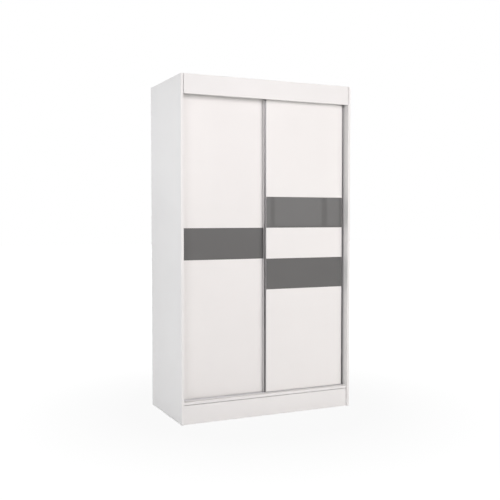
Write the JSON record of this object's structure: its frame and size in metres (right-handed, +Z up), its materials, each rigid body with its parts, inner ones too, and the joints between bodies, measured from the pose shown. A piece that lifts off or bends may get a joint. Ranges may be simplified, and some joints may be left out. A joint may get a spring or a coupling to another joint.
{
  "type": "sliding door wardrobe",
  "caption": "Free-standing white wardrobe with overlapping sliding doors, grey glass strips, a shelf bay and a hanging rail bay.",
  "frame": {"origin": "on the floor at the centre of the footprint", "axes": "+Z up, +X from the left side panel to the right one as seen from the front, +Y from the front to the wall behind"},
  "size_m": [1.2, 0.6, 2.15],
  "materials": {
    "aluminium": "satin anodised",
    "beech": "raw beech",
    "black_nylon": "matt",
    "black_rubber": "matt",
    "brush_pile": "nylon pile",
    "chrome": "polished",
    "door_white": "satin laminate",
    "foam_tape": "matt foam",
    "grey_glass": "gloss, lacquered on its back",
    "grey_plastic": "matt",
    "white_hardboard": "lacquered hardboard",
    "white_laminate": "satin laminate",
    "white_nylon": "satin",
    "white_plastic": "satin",
    "zinc_casting": "die cast",
    "zinc_steel": "zinc plated"
  },
  "bodies": {
    "carcass": {"adjustable_shelf_1": "white_laminate", "adjustable_shelf_2": "white_laminate", "adjustable_shelf_3": "white_laminate", "adjustable_shelf_4": "white_laminate", "back_panel_left": "white_hardboard", "back_panel_nails": "zinc_steel", "back_panel_right": "white_hardboard", "bottom_panel": "white_laminate", "bottom_track": "aluminium", "cam_bolts": "zinc_steel", "cam_locks": "zinc_casting", "carcass_screws": "zinc_steel", "centre_divider": "white_laminate", "corner_blocks": "white_plastic", "dowels": "beech", "fascia": "white_laminate", "fixed_shelf": "white_laminate", "front_plinth": "white_laminate", "hanging_rail": "chrome", "hat_shelf": "white_laminate", "left_side_panel": "white_laminate", "plinth_centre_rail": "white_laminate", "rail_brackets": "chrome", "rear_plinth": "white_laminate", "right_side_panel": "white_laminate", "shelf_pins": "zinc_steel", "top_panel": "white_laminate", "top_track": "aluminium", "track_end_stops": "black_rubber", "wall_anchor_brackets": "zinc_steel"},
    "left_door": {"left_door_board": "door_white", "left_door_glass_strip": "grey_glass", "left_door_glass_tape": "foam_tape", "left_door_left_profile": "aluminium", "left_door_profile_caps": "grey_plastic", "left_door_right_profile": "aluminium", "left_door_roller_axles": "zinc_steel", "left_door_roller_housings": "black_nylon", "left_door_screws": "zinc_steel", "left_door_top_guides": "white_nylon"},
    "right_door": {"right_door_board": "door_white", "right_door_dust_brush": "brush_pile", "right_door_glass_tape": "foam_tape", "right_door_left_profile": "aluminium", "right_door_lower_glass_strip": "grey_glass", "right_door_profile_caps": "grey_plastic", "right_door_right_profile": "aluminium", "right_door_roller_axles": "zinc_steel", "right_door_roller_housings": "black_nylon", "right_door_screws": "zinc_steel", "right_door_top_guides": "white_nylon", "right_door_upper_glass_strip": "grey_glass"},
    "left_door_left_roller": {"left_door_left_wheel": "white_nylon"},
    "left_door_right_roller": {"left_door_right_wheel": "white_nylon"},
    "right_door_left_roller": {"right_door_left_wheel": "white_nylon"},
    "right_door_right_roller": {"right_door_right_wheel": "white_nylon"}
  },
  "joints": [
    {"name": "left_door_slide", "type": "slide", "parent": "carcass", "child": "left_door", "axis": [1, 0, 0], "range_m": [0, 0.565]},
    {"name": "right_door_slide", "type": "slide", "parent": "carcass", "child": "right_door", "axis": [-1, 0, 0], "range_m": [0, 0.565]},
    {"name": "left_door_left_roller_spin", "type": "hinge", "parent": "left_door", "child": "left_door_left_roller", "pos_m": [-0.5135, -0.221, 0.154], "axis": [0, 1, 0], "continuous": true},
    {"name": "left_door_right_roller_spin", "type": "hinge", "parent": "left_door", "child": "left_door_right_roller", "pos_m": [-0.0515, -0.221, 0.154], "axis": [0, 1, 0], "continuous": true},
    {"name": "right_door_left_roller_spin", "type": "hinge", "parent": "right_door", "child": "right_door_left_roller", "pos_m": [0.0515, -0.242, 0.154], "axis": [0, 1, 0], "continuous": true},
    {"name": "right_door_right_roller_spin", "type": "hinge", "parent": "right_door", "child": "right_door_right_roller", "pos_m": [0.5135, -0.242, 0.154], "axis": [0, 1, 0], "continuous": true}
  ],
  "couplings": [
    {"joint": "left_door_left_roller_spin", "follows": "left_door_slide", "rad_per_m": 86.957},
    {"joint": "left_door_right_roller_spin", "follows": "left_door_slide", "rad_per_m": 86.957},
    {"joint": "right_door_left_roller_spin", "follows": "right_door_slide", "rad_per_m": -86.957},
    {"joint": "right_door_right_roller_spin", "follows": "right_door_slide", "rad_per_m": -86.957}
  ]
}
